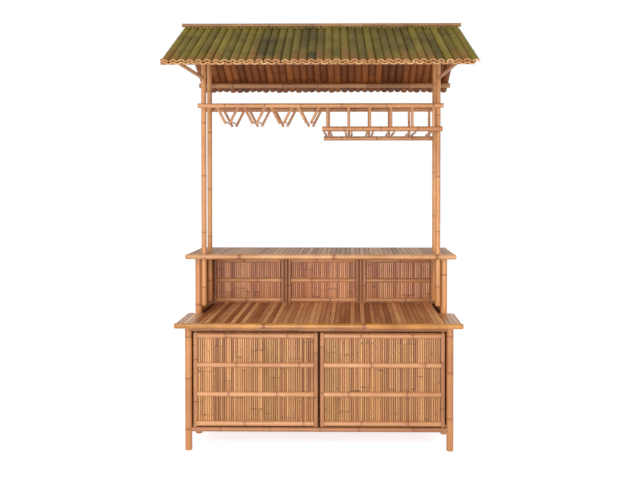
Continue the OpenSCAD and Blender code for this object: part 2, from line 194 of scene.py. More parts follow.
def bamboo(name, light, dark, scar, aged=None, fibre=0.5, cloud=0.6, gloss=0.38, coat=0.15,
           spots=0.35, ior=1.45):
    """Varnished bamboo in two tones, with the colour of its scars and of its aged patches."""
    paint = bpy.data.materials.new(name)
    paint.use_nodes = True
    tree = paint.node_tree
    tree.nodes.clear()
    group = tree.nodes.new("ShaderNodeGroup")
    group.node_tree = skin
    for key, value in (("Light", rgb(light)), ("Dark", rgb(dark)), ("Scar", rgb(scar)),
                       ("Aged", rgb(aged or dark)), ("Fibre", fibre), ("Cloud", cloud),
                       ("Spots", spots), ("Gloss", gloss)):
        group.inputs[key].default_value = value
    bump = add(tree, "Bump", {"Height": group.outputs["Height"], "Strength": 0.25,
                              "Distance": 0.0006})
    shader = add(tree, "BsdfPrincipled", {"Base Color": group.outputs["Color"],
                                          "Roughness": group.outputs["Roughness"],
                                          "Normal": bump.outputs[0], "Coat Weight": coat,
                                          "Coat Roughness": 0.25, "IOR": ior})
    add(tree, "OutputMaterial", {"Surface": shader.outputs[0]})
    return paint


def draw_out(bm, stations, axis_r=None):
    """Draws the outline in bm out along +Z. A station is a height, a swelling, a tone and a
    scar. axis_r is the radius of a round piece, whose grain then wraps round its axis."""
    marks = [bm.verts.layers.float.new(name) for name in ("tone", "scar", "aged")]
    ring, edges = bm.verts[:], bm.edges[:]
    swell = 1.0
    for step, (height, new_swell, tone, scar) in enumerate(stations):
        if step:
            grown = bmesh.ops.extrude_edge_only(bm, edges=edges)["geom"]
            ring = [g for g in grown if isinstance(g, bmesh.types.BMVert)]
            fresh = set(ring)
            edges = [g for g in grown if isinstance(g, bmesh.types.BMEdge)
                     and fresh.issuperset(g.verts)]
        scale = new_swell / swell
        swell = new_swell
        for vert in ring:
            vert.co = (vert.co.x * scale, vert.co.y * scale, height)
            vert[marks[0]], vert[marks[1]] = tone, scar
    wrap(bm, axis_r)
    return edges


def wrap(bm, axis_r):
    """Grain coordinates in metres: across or round the piece, and along it."""
    skin_map = bm.loops.layers.uv.verify()
    shift = (rng.uniform(0, 9), rng.uniform(0, 9))
    for face in bm.faces:
        middle = face.calc_center_median()
        facing = math.atan2(middle.y, middle.x)
        for loop in face.loops:
            x, y, z = loop.vert.co
            if axis_r:
                turn = (math.atan2(y, x) - facing + math.pi) % math.tau - math.pi
                x = (facing + turn) * axis_r
            loop[skin_map].uv = (x + shift[0], z + shift[1])


def close_end(bm, edges, wall, depth):
    """Caps an open end in the piece's second paint. A wall thickness leaves the hollow of a
    sawn culm inside it."""
    cap = bmesh.ops.contextual_create(bm, geom=edges)["faces"]
    for face in cap:
        face.material_index = 1
    if wall:
        rim = bmesh.ops.inset_region(bm, faces=cap, thickness=wall, use_even_offset=True)
        for face in rim["faces"]:
            face.material_index = 1
        lip = bmesh.ops.inset_region(bm, faces=cap, thickness=wall * 0.15)
        for face in lip["faces"]:
            face.material_index = 1
        bmesh.ops.translate(bm, verts=cap[0].verts[:], vec=(0, 0, depth))


def pour(part, whole, matrix):
    """Sets a part in its place in the piece."""
    part.transform(matrix)
    scratch = bpy.data.meshes.new("scratch")
    part.to_mesh(scratch)
    part.free()
    whole.from_mesh(scratch)
    bpy.data.meshes.remove(scratch)


def merge(part, whole, matrix):
    """Sets a new part in its place in the piece, with its faces outward."""
    bmesh.ops.recalc_face_normals(part, faces=part.faces[:])
    pour(part, whole, matrix)


def new_piece():
    """An empty mesh that holds every mark the skin reads."""
    bm = bmesh.new()
    for name in ("tone", "scar", "aged"):
        bm.verts.layers.float.new(name)
    bm.loops.layers.uv.new("skin")
    return bm


def make_piece(bm, name, paints, node, body="root"):
    """Turns the mesh into a piece that replaces a CAD node, and rides on its body."""
    for edge in bm.edges:
        edge.smooth = edge.calc_face_angle(0) < math.radians(38)
    for face in bm.faces:
        face.smooth = True
    mesh = bpy.data.meshes.new(name)
    bm.to_mesh(mesh)
    bm.free()
    for paint in paints:
        mesh.materials.append(paint)
    piece = bpy.data.objects.new(name, mesh)
    bpy.context.collection.objects.link(piece)
    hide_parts(node)
    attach(piece, body)


def culm_stations(length, spacing, collar, stain=0.18):
    """From one sawn end to the other: at each joint of the culm, the wall swells over a
    scar inside a stained collar, and the tone changes. Spacing may list the joints."""
    base = rng.uniform(0.35, 0.72)
    tone = base
    rows = [(0, 1, tone, 0)]
    joints, at = spacing, 0
    if not isinstance(spacing, (list, tuple)):
        joints, at = [], spacing * rng.uniform(0.35, 0.9)
        while at < length:
            joints.append(at)
            at += spacing * rng.uniform(0.8, 1.2)
    for at in joints:
        if not 2 * collar < at < length - 2 * collar:
            continue
        rows += [(at - collar, 1.0, tone, 0), (at - 0.35 * collar, 1.02, tone, stain),
                 (at - 0.07 * collar, 1.008, tone, 0.8)]
        tone = base + rng.uniform(-0.16, 0.16)
        rows += [(at + 0.04 * collar, 1.01, tone, 0.7), (at + 0.3 * collar, 1.04, tone, stain),
                 (at + collar, 1.0, tone, 0)]
    return rows + [(length, 1, tone, 0)]


def pole(whole, start, end, radius, spacing, sides=20, wall=0.28, tip=None, material=0):
    """A culm from start to end. The tip, if any, rounds its start off over that length."""
    start, end = Vector(start), Vector(end)
    length = (end - start).length
    bm = bmesh.new()
    bmesh.ops.create_circle(bm, cap_ends=False, radius=radius, segments=sides)
    foot = bm.edges[:]
    rows = culm_stations(length, spacing, radius * 0.7)
    if tip:
        tone = rows[0][2]
        rows[0] = (0, 0.5, tone, 0.3)
        rows[1:1] = [(tip * 0.3, 0.84, tone, 0.1), (tip, 1, tone, 0)]
    head = draw_out(bm, rows, radius)
    for face in bm.faces:
        face.material_index = material
    close_end(bm, foot, radius * wall, radius * 0.4)
    close_end(bm, head, radius * wall, -radius * 0.4)
    merge(bm, whole, Matrix.Translation(start) @ (end - start).to_track_quat("Z", "X")
          .to_matrix().to_4x4())


rng = random.Random(7)
pole_skin = bamboo("pole_skin", "e3a468", "a9683a", "6e3d1c", aged="b06a48", fibre=0.4,
                   cloud=0.8)
sawn_end = bamboo("sawn_end", "cf9f6c", "8a5a34", "5e3518", fibre=0.7, gloss=0.6, coat=0.0)
leg_joint_spacing = 0.30
leg_joints = {"front_left_leg": (0.118, 0.40, 0.63), "front_right_leg": (0.18, 0.433, 0.637)}
for name in ("front_left_leg", "front_right_leg", "middle_left_leg", "middle_right_leg",
             "rear_left_leg", "rear_right_leg"):
    low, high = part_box(name)
    middle = (low + high) / 2
    whole = new_piece()
    pole(whole, (middle.x, middle.y, low.z), (middle.x, middle.y, high.z),
         (high.x - low.x) / 2, leg_joints.get(name, leg_joint_spacing), sides=24)
    make_piece(whole, name.replace("leg", "leg_culm"), [pole_skin, sawn_end], name)
post_tip = 0.012
for name in ("front_left_roof_post", "front_right_roof_post", "rear_left_roof_post",
             "rear_right_roof_post"):
    low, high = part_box(name)
    middle = (low + high) / 2
    whole = new_piece()
    pole(whole, (middle.x, middle.y, low.z), (middle.x, middle.y, high.z),
         (high.x - low.x) / 2, leg_joint_spacing, sides=24, tip=post_tip)
    make_piece(whole, name.replace("post", "post_culm"), [pole_skin, sawn_end],
               name)


# ---------------------------------------------------------------- Rails
# Thinner culms between the legs, coped to them and pinned: under each panel, under the
# work counter, and under the bar counter. Two thin poles stand between the upper panels.
rail_skin = bamboo("rail_skin", "c08458", "7e4c2c", "56300f", fibre=0.45, cloud=0.8)
leg_r = (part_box("front_left_leg")[1].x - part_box("front_left_leg")[0].x) / 2
leg_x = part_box("front_right_leg")[1].x - leg_r
front_y, middle_y, rear_y = [(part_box(name)[0].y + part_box(name)[1].y) / 2
                             for name in ("front_left_leg", "middle_left_leg", "rear_left_leg")]
rail_r = 0.0135
rail_joint_spacing = 0.26
cope = 0.004  # how far a rail's hollow end reaches past the leg's face
bottom_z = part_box("front_rails")[0].z + rail_r
work_rail_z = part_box("front_rails")[1].z - rail_r
bar_rail_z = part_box("rear_rails")[1].z - rail_r
for name, y, heights in (("front_rails", front_y, (bottom_z, work_rail_z)),
                         ("rear_rails", rear_y, (bottom_z, work_rail_z, bar_rail_z))):
    whole = new_piece()
    reach = leg_x - leg_r + cope
    for z in heights:
        pole(whole, (-reach, y, z), (reach, y, z), rail_r, rail_joint_spacing)
    make_piece(whole, name + "_culms", [rail_skin, sawn_end], name)
for name, x in (("left_side_rails", -leg_x), ("right_side_rails", leg_x)):
    whole = new_piece()
    for y0, y1, heights in ((front_y, middle_y, (bottom_z, work_rail_z)),
                            (middle_y, rear_y, (bottom_z, work_rail_z, bar_rail_z))):
        for z in heights:
            pole(whole, (x, y0 + leg_r - cope, z), (x, y1 - leg_r + cope, z), rail_r,
                 rail_joint_spacing)
    make_piece(whole, name + "_culms", [rail_skin, sawn_end], name)
low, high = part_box("upper_mullions")
mullion_r = (high.y - low.y) / 2
whole = new_piece()
for x in (low.x + mullion_r, high.x - mullion_r):
    pole(whole, (x, rear_y, low.z), (x, rear_y, high.z), mullion_r, 0.2)
make_piece(whole, "upper_mullion_culms", [rail_skin, sawn_end], "upper_mullions")


# ---------------------------------------------------------------- Panels and doors
# A frame of two stiles, filled with narrow upright slats split from the same culms, so
# that their joints line up in groups. Half-round battens are nailed across the face. The
# two front panels are doors, and turn on pins in their outer stiles.
slat_skin = bamboo("slat_skin", "dca268", "844c28", "4c2410", aged="94803e", fibre=0.45,
                   cloud=0.35, spots=0.7)
# The upper panels' slats: pinker than the lower ones, and brighter as painted light that offsets
# the shade under the bar counter.
pink_lit_slat_skin = bamboo("pink_lit_slat_skin", "f4b07e", "9c5430", "4c2410", aged="b08a58",
                        fibre=0.35, cloud=0.35, spots=0.5)
stile_skin = bamboo("stile_skin", "c68c60", "8a5636", "5a351c", aged="8c6a50", fibre=0.5,
                    cloud=0.7, spots=0.5)
batten_skin = bamboo("batten_skin", "e3ab78", "ad6f45", "744224", aged="b8705a", fibre=0.35,
                     cloud=0.7)
# Painted shade: a dark paint for the board seen in the gaps between slats and for the bed seen
# between counter strips.
gap_shade = bamboo("gap_shade", "4a2a16", "2c170a", "1c0e05", gloss=0.8, coat=0.0)
nail_steel = bpy.data.materials.new("nail_steel")
nail_steel.use_nodes = True
tree = nail_steel.node_tree
tree.nodes.clear()
grain = add(tree, "TexNoise", {"Vector": add(tree, "TexCoord").outputs["Object"], "Scale": 400.0})
tint = add(tree, "Mix", {0: grain.outputs[0], 6: rgb("3c2c22"), 7: rgb("6a5546")},
           data_type="RGBA")
shader = add(tree, "BsdfPrincipled", {"Base Color": tint.outputs[2], "Metallic": 0.6,
                                      "Roughness": 0.5})
add(tree, "OutputMaterial", {"Surface": shader.outputs[0]})

panel_paints = [slat_skin, sawn_end, stile_skin, batten_skin, nail_steel, gap_shade]
stile_paint, batten_paint, nail_paint, shade_board_paint = 2, 3, 4, 5
stile_r = 0.0135
stile_joint_spacing = 0.23
slat_pitch = 0.0123
slat_depth = 0.0050
slat_back = 0.004  # the outer face of the back slats, behind the panel's middle plane
slat_back_depth = 0.0012
slat_joint_spacing = (0.22, 0.36)
slat_shares = (0.82, 0.88, 0.92, 0.96)  # how much of its pitch a slat fills
slats_per_culm = (3, 7)
greening = (0, 0, 0, 0.15, 0.3, 0.42)  # how green the slats of one culm can be
shade_board_t = 0.001  # half the thickness of the dark board between the two layers of slats, a sheet of painted shade that darkens the gaps between them
batten_r = 0.0135
batten_lap = 0.005
batten_inset = 0.021
face_y = -0.006  # the slats' crowns, which the battens lie on
nail_r = 0.0016
nail_spacing = 0.085
nail_inset = 0.012
lower_battens, upper_battens = 4, 3


def arc(radius, degrees, steps, squash=1.0):
    """An open arch in the XY plane, its crown toward -Y."""
    bm = bmesh.new()
    first = bm.verts.new((radius, 0, 0))
    bmesh.ops.spin(bm, geom=[first], cent=(0, 0, 0), axis=(0, 0, 1), steps=steps,
                   angle=-math.radians(degrees))
    bmesh.ops.rotate(bm, verts=bm.verts[:], cent=(0, 0, 0),
                     matrix=Matrix.Rotation(math.radians(degrees - 180) / 2, 3, "Z"))
    bmesh.ops.scale(bm, verts=bm.verts[:], vec=(1, squash, 1))
    return bm


def bow(radius, steps, squash=1.0):
    """The arch of a half culm, closed by its flat back."""
    bm = arc(radius, 180, steps, squash)
    ends = [v for v in bm.verts if len(v.link_edges) == 1]
    bm.edges.new(ends)
    return bm


def half_pole(whole, start, end, radius, spacing, steps=12, rounded=0.0, crown=(0, -1, 0),
              stain=0.6, material=0):
    """A half culm from start to end, with its round side toward crown. Its ends may be
    rounded off over a length."""
    start, end = Vector(start), Vector(end)
    length = (end - start).length
    bm = bow(radius, steps)
    foot = bm.edges[:]
    rows = culm_stations(length, spacing, radius * 1.1, stain)
    if rounded:
        first, last = rows[0][2], rows[-1][2]
        rows[0:1] = [(0, 0.72, first, 0), (rounded * 0.35, 0.92, first, 0),
                     (rounded, 1, first, 0)]
        rows[-1:] = [(length - rounded, 1, last, 0), (length - rounded * 0.35, 0.92, last, 0),
                     (length, 0.72, last, 0)]
    head = draw_out(bm, rows, radius)
    for face in bm.faces:
        face.material_index = material
    close_end(bm, foot, 0, 0)
    close_end(bm, head, 0, 0)
    along, crown = (end - start).normalized(), Vector(crown)
    matrix = Matrix((along.cross(crown), -crown, along)).transposed().to_4x4()
    merge(bm, whole, Matrix.Translation(start) @ matrix)


def slat_layer(whole, width, height, front):
    """The upright slats, edge to edge, in groups whose joints line up. Those at the back
    of the panel are nearly flat."""
    count = round(width / slat_pitch)
    pitch = width / count
    depth = slat_depth if front else slat_back_depth
    left = 0
    for i in range(count):
        if not left:
            left = rng.randint(*slats_per_culm)
            joints, at = [], rng.uniform(0.02, 0.34)
            while at < height - 0.01:
                joints.append(at)
                at += rng.uniform(*slat_joint_spacing)
            shade = rng.uniform(0.38, 0.72)
            green = rng.choice(greening)
            set_back = rng.uniform(0, 0.0008)
        left -= 1
        tone = shade + rng.uniform(-0.3, 0.3)
        rows = [(0, 1, tone, 0)]
        for at in joints:
            z = min(height - 0.008, max(0.008, at + rng.uniform(-0.0015, 0.0015)))
            scar = rng.choice((0.25, 0.5, 0.9))
            rows += [(z - 0.005, 1, tone, 0), (z - 0.001, 1.07, tone, scar)]
            tone += rng.uniform(-0.22, 0.22)
            rows += [(z + 0.0012, 1.07, tone, scar * 0.6), (z + 0.006, 1, tone, 0)]
        rows.append((height, 1, tone, 0))
        bm = bow(pitch / 2 * rng.choice(slat_shares), 4, depth / (pitch / 2))
        foot = bm.edges[:]
        head = draw_out(bm, rows)
        aged = bm.verts.layers.float["aged"]
        for vert in bm.verts:
            vert[aged] = green
        close_end(bm, foot, 0, 0)
        close_end(bm, head, 0, 0)
        x = -width / 2 + (i + 0.5) * pitch
        if front:
            place = Matrix.Translation((x, face_y + slat_depth + set_back, 0))
        else:
            place = (Matrix.Translation((x, slat_back - depth, 0))
                     @ Matrix.Rotation(math.pi, 4, "Z"))
        merge(bm, whole, place)


def nail(whole, x, y, z):
    """A small round head, proud of the batten."""
    bm = bmesh.new()
    bmesh.ops.create_cone(bm, cap_ends=True, segments=8, radius1=nail_r, radius2=nail_r * 0.6,
                          depth=nail_r / 2)
    for face in bm.faces:
        face.material_index = nail_paint
    merge(bm, whole, Matrix.Translation((x, y, z)) @ Matrix.Rotation(math.pi / 2, 4, "X"))


def board(whole, corners, low, high, material=0, top=None):
    """A flat board, from its corners in plan. Its top may have a paint of its own."""
    bm = bmesh.new()
    face = bm.faces.new([bm.verts.new((x, y, low)) for x, y in corners])
    grown = bmesh.ops.extrude_face_region(bm, geom=[face])["geom"]
    bmesh.ops.translate(bm, verts=[g for g in grown if isinstance(g, bmesh.types.BMVert)],
                        vec=(0, 0, high - low))
    tone = bm.verts.layers.float.new("tone")
    for vert in bm.verts:
        vert[tone] = 0.3
    for face in bm.faces:
        lid = min(vert.co.z for vert in face.verts) > (low + high) / 2
        face.material_index = top if lid and top is not None else material
    wrap(bm, None)
    merge(bm, whole, Matrix.Identity(4))


def panel(whole, width, height, battens, inset, matrix):
    """A framed panel in the XZ plane, then set in its place. The first and the last batten
    lie an inset from its ends."""
    bm = new_piece()
    inner = width / 2 - 2 * stile_r
    slat_layer(bm, 2 * inner - 2 * shade_board_t, height, True)
    # A dark board of painted shade between the two layers of slats, seen through the gaps between
    # them.
    board(bm, [(-inner, -shade_board_t), (inner, -shade_board_t), (inner, shade_board_t), (-inner, shade_board_t)],
          shade_board_t, height - shade_board_t, shade_board_paint)
    slat_layer(bm, 2 * inner, height, False)
    for side in (-1, 1):
        x = side * (width / 2 - stile_r)
        pole(bm, (x, 0, 0), (x, 0, height), stile_r, stile_joint_spacing, sides=16,
             material=stile_paint)
    half = inner + batten_lap
    step = (height - 2 * inset) / (battens - 1)
    count = max(2, round(2 * half / nail_spacing))
    for i in range(battens):
        z = inset + i * step
        half_pole(bm, (-half, face_y, z), (half, face_y, z), batten_r, 0.30, steps=10,
                  rounded=0.006, stain=0.18, material=batten_paint)
        for k in range(count):
            x = -half + nail_inset + k * (2 * half - 2 * nail_inset) / (count - 1)
            nail(bm, x + rng.uniform(-0.004, 0.004), face_y - batten_r,
                 z + rng.uniform(-0.003, 0.003))
    pour(bm, whole, matrix)


door_end_gap = 0.0055
door_batten_inset = 0.016
door_pin_r = 0.006
pin_root = 0.002  # how far a pin starts inside its stile
for name, body, hinge_side in (("front_left_door", "left_door", -1),
                               ("front_right_door", "right_door", 1)):
    low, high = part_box(name)
    foot, head = bottom_z + rail_r + door_end_gap, work_rail_z - rail_r - door_end_gap
    whole = new_piece()
    panel(whole, high.x - low.x, head - foot, lower_battens, door_batten_inset,
          Matrix.Translation(((low.x + high.x) / 2, front_y, foot)))
    pivot_x = (low.x + stile_r) if hinge_side < 0 else (high.x - stile_r)
    for z0, z1 in ((low.z, foot + pin_root), (head - pin_root, high.z)):
        pole(whole, (pivot_x, front_y, z0), (pivot_x, front_y, z1), door_pin_r, 0.1, sides=16,
             material=stile_paint)
    make_piece(whole, name + "_slatted", panel_paints, name, body)
# The upper panels take the brighter slat paint, partly their pinker tone and partly painted light
# for the shade under the bar counter.
upper_paints = [pink_lit_slat_skin] + panel_paints[1:]
upper_sunk = 0.003  # how far the upper panels are sunk, so that no light shows under them
panel_play = 0.0008  # added to a panel's width, so that no light shows beside it
for name, yaw, battens, sunk, paints in (
        ("rear_left_panel", math.pi, lower_battens, 0, panel_paints),
        ("rear_right_panel", math.pi, lower_battens, 0, panel_paints),
        ("upper_left_panel", 0, upper_battens, upper_sunk, upper_paints),
        ("upper_middle_panel", 0, upper_battens, upper_sunk, upper_paints),
        ("upper_right_panel", 0, upper_battens, upper_sunk, upper_paints)):
    low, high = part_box(name)
    whole = new_piece()
    panel(whole, high.x - low.x + panel_play, high.z - low.z + sunk, battens, batten_inset,
          Matrix.Translation(((low.x + high.x) / 2, rear_y, low.z - sunk))
          @ Matrix.Rotation(yaw, 4, "Z"))
    make_piece(whole, name + "_slatted", paints, name)
seat = 0.0003  # the clearance left between pieces that touch
lower_low, lower_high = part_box("rear_left_panel")
for name, side in (("left_side_panels", -1), ("right_side_panels", 1)):
    whole = new_piece()
    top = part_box(name)[1].z
    for y0, y1, z0, z1, battens in (
            (front_y, middle_y, lower_low.z, lower_high.z, lower_battens),
            (middle_y, rear_y, lower_low.z, lower_high.z, lower_battens),
            (middle_y, rear_y, work_rail_z + rail_r + seat, top, upper_battens)):
        panel(whole, y1 - y0 - 2 * (leg_r + seat), z1 - z0, battens, batten_inset,
              Matrix.Translation((side * leg_x, (y0 + y1) / 2, z0))
              @ Matrix.Rotation(side * math.pi / 2, 4, "Z"))
    make_piece(whole, name + "_slatted", panel_paints, name)


# ---------------------------------------------------------------- Counters and shelf
# Flattened strips of split bamboo laid front to back on a board, under several coats of
# varnish. Half culms in a brighter tone edge both counters. The shelf in the cabinet is
# made of the same strips, left bare.
strip_skin = bamboo("strip_skin", "fabe80", "965024", "3a1d0a", aged="8a4420", fibre=0.6,
                    cloud=0.3, gloss=0.34, coat=0.1, spots=0.5)
bar_strip_skin = bamboo("bar_strip_skin", "dcae88", "9e7456", "4a2814", fibre=0.55, cloud=0.35,
                        gloss=0.5, coat=0.0, spots=0.5, ior=1.32)
trim_skin = bamboo("trim_skin", "e6a44e", "94561f", "74371a", fibre=0.35, cloud=1.5,
                   gloss=0.3, coat=0.3, spots=0.6)
bar_trim_skin = bamboo("bar_trim_skin", "e2ac78", "a86c3c", "7c3c1c", fibre=0.35, cloud=1.3,
                       gloss=0.35, coat=0.2, spots=0.6)
strip_w = 0.0287
strip_gap = (0.0018, 0.0034)
strip_joint_spacing = (0.22, 0.34)
strip_crown = 0.0013
strip_bed = 0.004  # how far the board lies below the strips' crowns


def crowned(width, crown, bed):
    """The outline of a flat strip whose face, toward -Y, is slightly crowned."""
    turn = 4 * math.atan(2 * crown / width)
    radius = width / 2 / math.sin(turn / 2)
    bm = arc(radius, math.degrees(turn), 4)
    bmesh.ops.translate(bm, verts=bm.verts[:], vec=(0, radius, 0))
    ends = [v for v in bm.verts if len(v.link_edges) == 1]
    low = bmesh.ops.extrude_vert_indiv(bm, verts=ends)["verts"]
    for vert in low:
        vert.co.y = bed
    bm.edges.new(low)
    return bm


def strips(whole, x0, x1, y_near, y_far, top):
    """Strips side by side from x0 to x1. y_far gives a strip's far end for its place."""
    count = round((x1 - x0) / strip_w)
    pitch = (x1 - x0) / count
    for i in range(count):
        x = x0 + (i + 0.5) * pitch
        far = y_far(x)
        tone = rng.choice((rng.uniform(0.0, 0.35), rng.uniform(0.3, 0.7), rng.uniform(0.6, 1.0)))
        rows, at = [(0, 1, tone, 0)], rng.uniform(0.05, 0.3)
        while at < far - y_near - 0.02:
            rows += [(at - 0.005, 1, tone, 0), (at, 1.0, tone, 0.7)]
            tone += rng.uniform(-0.2, 0.2)
            rows += [(at + 0.0012, 1.0, tone, 0.4), (at + 0.006, 1, tone, 0)]
            at += rng.uniform(*strip_joint_spacing)
        rows.append((far - y_near, 1, tone, 0))
        bm = crowned(pitch - rng.uniform(*strip_gap), strip_crown, strip_bed)
        foot = bm.edges[:]
        head = draw_out(bm, rows)
        close_end(bm, foot, 0, 0)
        close_end(bm, head, 0, 0)
        merge(bm, whole, Matrix.Translation((x, y_near, top))
              @ Matrix.Rotation(-math.pi / 2, 4, "X"))


low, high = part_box("work_counter_top")
leg_gap = 0.0025
ear_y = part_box("work_counter_trim")[1].y  # where the counter ends in front of the middle legs
inner_x = leg_x - leg_r - leg_gap
whole = new_piece()
# The board's top is painted shade, seen as dark gaps between the strips.
board(whole, [(low.x, low.y), (high.x, low.y), (high.x, ear_y), (inner_x, ear_y),
              (inner_x, high.y), (-inner_x, high.y), (-inner_x, ear_y), (low.x, ear_y)],
      low.z, high.z - strip_bed, 0, 2)
strips(whole, low.x, high.x, low.y, lambda x: high.y if abs(x) < inner_x - strip_w / 2 else ear_y,
       high.z)
make_piece(whole, "work_counter_strips", [strip_skin, sawn_end, gap_shade],
           "work_counter_top")
low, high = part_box("bar_counter_top")
whole = new_piece()
# The board's top is painted shade, seen as dark gaps between the strips.
board(whole, [(low.x, low.y), (high.x, low.y), (high.x, high.y), (low.x, high.y)],
      low.z, high.z - strip_bed, 0, 2)
strips(whole, low.x, high.x, low.y, lambda x: high.y, high.z)
make_piece(whole, "bar_counter_strips", [bar_strip_skin, sawn_end, gap_shade],
           "bar_counter_top")
low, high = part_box("cabinet_shelf")
whole = new_piece()
board(whole, [(low.x, low.y), (high.x, low.y), (high.x, high.y), (low.x, high.y)],
      low.z, high.z - strip_bed)
strips(whole, low.x, high.x, low.y, lambda x: high.y, high.z)
make_piece(whole, "cabinet_shelf_strips", [rail_skin, sawn_end],
           "cabinet_shelf")

# From the left end of each front edging to the culm's joints.
front_joints = {"work_counter_trim": (0.49, 1.04), "bar_counter_trim": (0.318, 0.867, 1.464)}
trim_rounding = 0.008
for name, has_back in (("work_counter_trim", False), ("bar_counter_trim", True)):
    low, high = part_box(name)
    radius = (high.z - low.z) / 2
    z = (low.z + high.z) / 2
    whole = new_piece()
    half_pole(whole, (low.x, low.y + radius, z), (high.x, low.y + radius, z), radius,
              front_joints[name], rounded=trim_rounding)
    y_end = high.y
    if has_back:
        y_end = high.y - radius
        half_pole(whole, (high.x, y_end, z), (low.x, y_end, z), radius, 0.5,
                  rounded=trim_rounding, crown=(0, 1, 0))
    for x, way in ((high.x - radius, 1), (low.x + radius, -1)):
        half_pole(whole, (x, low.y + radius, z), (x, y_end, z), radius, 0.4, crown=(way, 0, 0))
    make_piece(whole, name + "_culms", [bar_trim_skin if has_back else trim_skin, sawn_end],
               name)


# ---------------------------------------------------------------- Hanging rack
# Two top rails cross the posts. V-shaped hangers take the feet of glasses on the left,
# and bottles lie on the rods of the rack on the right.
rack_skin = bamboo("rack_skin", "e0a570", "a9693e", "6e3d1c", fibre=0.4, cloud=0.8)
for name in ("rack_front_rail", "rack_rear_rail"):
    low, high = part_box(name)
    middle = (low + high) / 2
    whole = new_piece()
    pole(whole, (low.x, middle.y, middle.z), (high.x, middle.y, middle.z),
         (high.y - low.y) / 2, 0.24)
    make_piece(whole, name + "_culm", [rack_skin, sawn_end], name)
post_low, post_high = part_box("rear_right_roof_post")
post_x, post_y = (post_low.x + post_high.x) / 2, (post_low.y + post_high.y) / 2
post_r = (post_high.x - post_low.x) / 2
rack_y = (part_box("rack_rear_rail")[0].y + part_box("rack_rear_rail")[1].y) / 2
rack_z = (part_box("rack_rear_rail")[0].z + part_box("rack_rear_rail")[1].z) / 2
rack_rail_r = 0.0135
hanger_drop = 0.104  # from the rails' axes down to the sticks' lower ends
stick_r = 0.0075
hanger_rod_r = 0.0045
rod_rise = 0.013  # from the sticks' lower ends up to the rods
stick_foot = 0.0115  # from a hanger's middle to its sticks' lower ends
stick_head = 0.06425  # from a hanger's middle to its sticks at the rail's axis
for name in ("glass_hanger_1", "glass_hanger_2", "glass_hanger_3", "glass_hanger_4"):
    low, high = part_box(name)
    x = (low.x + high.x) / 2
    foot_z = rack_z - hanger_drop
    rod_x = stick_foot + (stick_head - stick_foot) * rod_rise / (rack_z - foot_z)
    whole = new_piece()
    for side in (-1, 1):
        pole(whole, (x + side * rod_x, low.y, foot_z + rod_rise),
             (x + side * rod_x, high.y, foot_z + rod_rise), hanger_rod_r, 0.13, sides=12)
        for y in (-rack_y, rack_y):
            top = Vector((x + side * stick_head, y, rack_z))
            foot = Vector((x + side * stick_foot, y, foot_z))
            run = (top - foot).normalized()
            pole(whole, foot, top - run * rack_rail_r * 0.8, stick_r, 0.15, sides=14)
    make_piece(whole, name + "_sticks", [rack_skin, sawn_end], name)

first_upright = 0.041  # from the bar's middle
uprights = 6
upright_r = 0.00775
rod_offset = 0.017  # from an upright to the rods on either side of it
low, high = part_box("bottle_rack_rods")
rod_r = (high.z - low.z) / 2
bay = (high.x - low.x - 2 * rod_r) / (uprights - 1)
whole = new_piece()
for i in range(uprights):
    for side in (-1, 1):
        x = first_upright + i * bay + side * rod_offset
        if x < high.x:
            pole(whole, (x, low.y, low.z + rod_r), (x, high.y, low.z + rod_r), rod_r, 0.16,
                 sides=14)
make_piece(whole, "bottle_rod_culms", [rail_skin, sawn_end], "bottle_rack_rods")
for name, side, radius in (("bottle_rack_front", -1, 0.0145), ("bottle_rack_rear", 1, 0.013)):
    low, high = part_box(name)
    rail_y = side * (post_y + post_r + seat + radius)
    whole = new_piece()
    pole(whole, (low.x, rail_y, low.z + radius), (high.x, rail_y, low.z + radius), radius, 0.22)
    for i in range(uprights):
        x = first_upright + i * bay
        pole(whole, (x, side * rack_y, low.z + 2 * radius - 0.002),
             (x, side * rack_y, rack_z - rack_rail_r * 0.85), upright_r, 0.17, sides=14)
    make_piece(whole, name + "_culms", [rack_skin, sawn_end], name)


# ---------------------------------------------------------------- Roof frame
# Two plates lie on the posts and two purlins under the eaves. Arms run out from the posts
# to the purlins, and a thin pole is wired along the ridge.
frame_skin = bamboo("frame_skin", "c48c58", "7e4c28", "45250f", fibre=0.45, cloud=0.8)
ridge_skin = bamboo("ridge_skin", "b08450", "6c4624", "3c200c", fibre=0.45, cloud=0.9)
for name in ("front_plate", "rear_plate", "front_purlin", "rear_purlin", "ridge_pole"):
    low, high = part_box(name)
    middle = (low + high) / 2
    whole = new_piece()
    pole(whole, (low.x, middle.y, middle.z), (high.x, middle.y, middle.z),
         (high.z - low.z) / 2, 0.28)
    paint = ridge_skin if name == "ridge_pole" else frame_skin
    make_piece(whole, name + "_culm", [paint, sawn_end], name)
purlin_low, purlin_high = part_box("rear_purlin")
purlin_mid = (purlin_low + purlin_high) / 2
arm_r = 0.010
arm_drop = 0.225  # from the plates' axes down to the arms' roots
arm_spread = 0.061  # how far an arm runs outward along the bar
arm_trims = (0.012, 0.013)  # from the posts' and the purlins' axes to the arm's ends
plate_z = (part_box("rear_plate")[0].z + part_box("rear_plate")[1].z) / 2
whole = new_piece()
for sx in (-1, 1):
    for sy in (-1, 1):
        root = Vector((sx * post_x, sy * post_y, plate_z - arm_drop))
        head = Vector((sx * (post_x + arm_spread), sy * purlin_mid.y, purlin_mid.z))
        run = (head - root).normalized()
        pole(whole, root + run * arm_trims[0], head - run * arm_trims[1], arm_r, 0.2, sides=16)
make_piece(whole, "roof_arm_culms", [pole_skin, sawn_end], "roof_arms")


